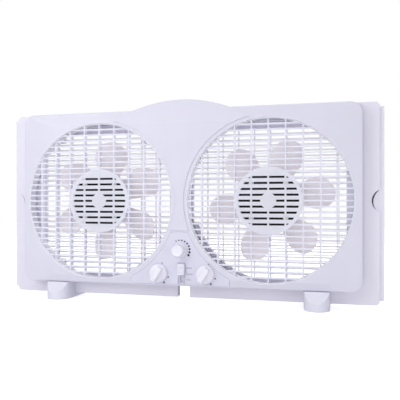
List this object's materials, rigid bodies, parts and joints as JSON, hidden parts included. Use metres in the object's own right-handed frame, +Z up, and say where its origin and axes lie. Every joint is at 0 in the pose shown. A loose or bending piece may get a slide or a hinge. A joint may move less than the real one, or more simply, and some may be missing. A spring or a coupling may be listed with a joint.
{
  "type": "window fan",
  "caption": "Twin window fan: two paddle rotors behind round grilles in a thin housing with a domed middle, knobs, side extenders that slide out and clip-on feet.",
  "frame": {"origin": "on the floor plane, in the middle of the width and of the depth", "axes": "+X to the right along the width, seen from the controls; +Y to the rear; +Z up"},
  "size_m": [0.616, 0.102, 0.3225],
  "materials": {
    "housing": "moulded, white with a cool cast, very fine grain",
    "grille": "moulded, white",
    "panel": "moulded, white, smooth",
    "knob": "moulded, white",
    "blade": "moulded, slightly translucent white",
    "extender": "moulded, white",
    "foot": "moulded, white",
    "motor": "black, satin",
    "steel": "zinc-plated",
    "bronze": "sintered bronze",
    "dark_plastic": "moulded, black",
    "lead": "flexible sheath, black"
  },
  "bodies": {
    "housing": {"front_shell": "housing", "rear_shell": "housing", "front_grille_left": "grille", "front_grille_right": "grille", "rear_grille_left": "grille", "rear_grille_right": "grille", "control_panel": "panel", "thermostat": "dark_plastic", "fan_switch_left": "dark_plastic", "fan_switch_right": "dark_plastic", "slide_switch": "dark_plastic", "motor_left": "motor", "motor_right": "motor", "motor_bushings_left": "bronze", "motor_bushings_right": "bronze", "foot_left": "foot", "foot_right": "foot", "capacitors": "dark_plastic", "motor_lead_left": "lead", "motor_lead_right": "lead", "lead_grommet": "lead", "housing_screws": "steel", "motor_screws_left": "steel", "motor_screws_right": "steel", "control_screws": "steel"},
    "rotor_left": {"shaft_left": "steel", "blade_left": "blade", "blade_nut_left": "blade"},
    "rotor_right": {"shaft_right": "steel", "blade_right": "blade", "blade_nut_right": "blade"},
    "extender_left": {"extender_left": "extender"},
    "extender_right": {"extender_right": "extender"},
    "thermostat_dial": {"thermostat_knob": "knob", "thermostat_spindle": "steel"},
    "speed_dial_left": {"fan_knob_left": "knob", "fan_spindle_left": "steel"},
    "speed_dial_right": {"fan_knob_right": "knob", "fan_spindle_right": "steel"},
    "slider": {"slide_button": "knob"}
  },
  "joints": [
    {"name": "rotor_left_spin", "type": "hinge", "parent": "housing", "child": "rotor_left", "pos_m": [-0.139, 0, 0.1625], "axis": [0, 1, 0], "continuous": true},
    {"name": "rotor_right_spin", "type": "hinge", "parent": "housing", "child": "rotor_right", "pos_m": [0.139, 0, 0.1625], "axis": [0, 1, 0], "continuous": true},
    {"name": "extender_left_slide", "type": "slide", "parent": "housing", "child": "extender_left", "axis": [-1, 0, 0], "range_m": [0, 0.13]},
    {"name": "extender_right_slide", "type": "slide", "parent": "housing", "child": "extender_right", "axis": [1, 0, 0], "range_m": [0, 0.13]},
    {"name": "thermostat_turn", "type": "hinge", "parent": "housing", "child": "thermostat_dial", "pos_m": [0.0015, -0.04, 0.085], "axis": [0, 1, 0], "range_deg": [-25, 119]},
    {"name": "speed_left_turn", "type": "hinge", "parent": "housing", "child": "speed_dial_left", "pos_m": [-0.034, -0.04, 0.048], "axis": [0, 1, 0], "range_deg": [0, 112]},
    {"name": "speed_right_turn", "type": "hinge", "parent": "housing", "child": "speed_dial_right", "pos_m": [0.042, -0.04, 0.048], "axis": [0, 1, 0], "range_deg": [0, 112]},
    {"name": "mode_slide", "type": "slide", "parent": "housing", "child": "slider", "axis": [0, 0, -1], "range_m": [0, 0.0176]}
  ]
}
